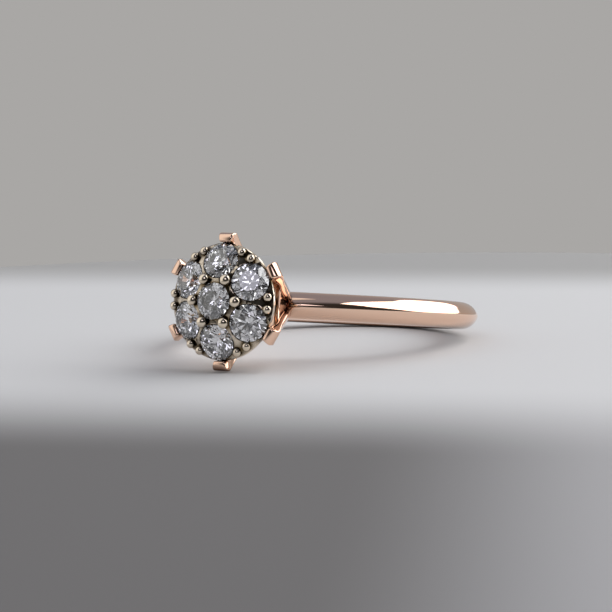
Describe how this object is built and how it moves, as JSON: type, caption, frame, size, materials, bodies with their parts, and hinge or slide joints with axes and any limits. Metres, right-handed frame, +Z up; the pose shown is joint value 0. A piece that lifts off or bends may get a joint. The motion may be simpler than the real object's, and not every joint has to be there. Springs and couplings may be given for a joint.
{
  "type": "cluster ring of bead-set stones",
  "caption": "Finger ring lying on its side: a plain band, a clawed basket and a domed cup that holds a cluster of round brilliant-cut stones.",
  "frame": {"origin": "middle of the bounding box at floor level, with the ring lying on its side", "axes": "+Z up from the floor, the head of the ring towards -Y, mirror plane at X = 0"},
  "size_m": [0.02, 0.0248, 0.0088],
  "materials": {
    "rose_gold": "polished",
    "white_gold": "polished",
    "diamond": "polished"
  },
  "bodies": {
    "root": {"band_with_basket": "rose_gold", "cluster_cup": "white_gold", "centre_stone": "diamond", "outer_stone_1": "diamond", "outer_stone_2": "diamond", "outer_stone_3": "diamond", "outer_stone_4": "diamond", "outer_stone_5": "diamond", "outer_stone_6": "diamond"}
  },
  "joints": []
}
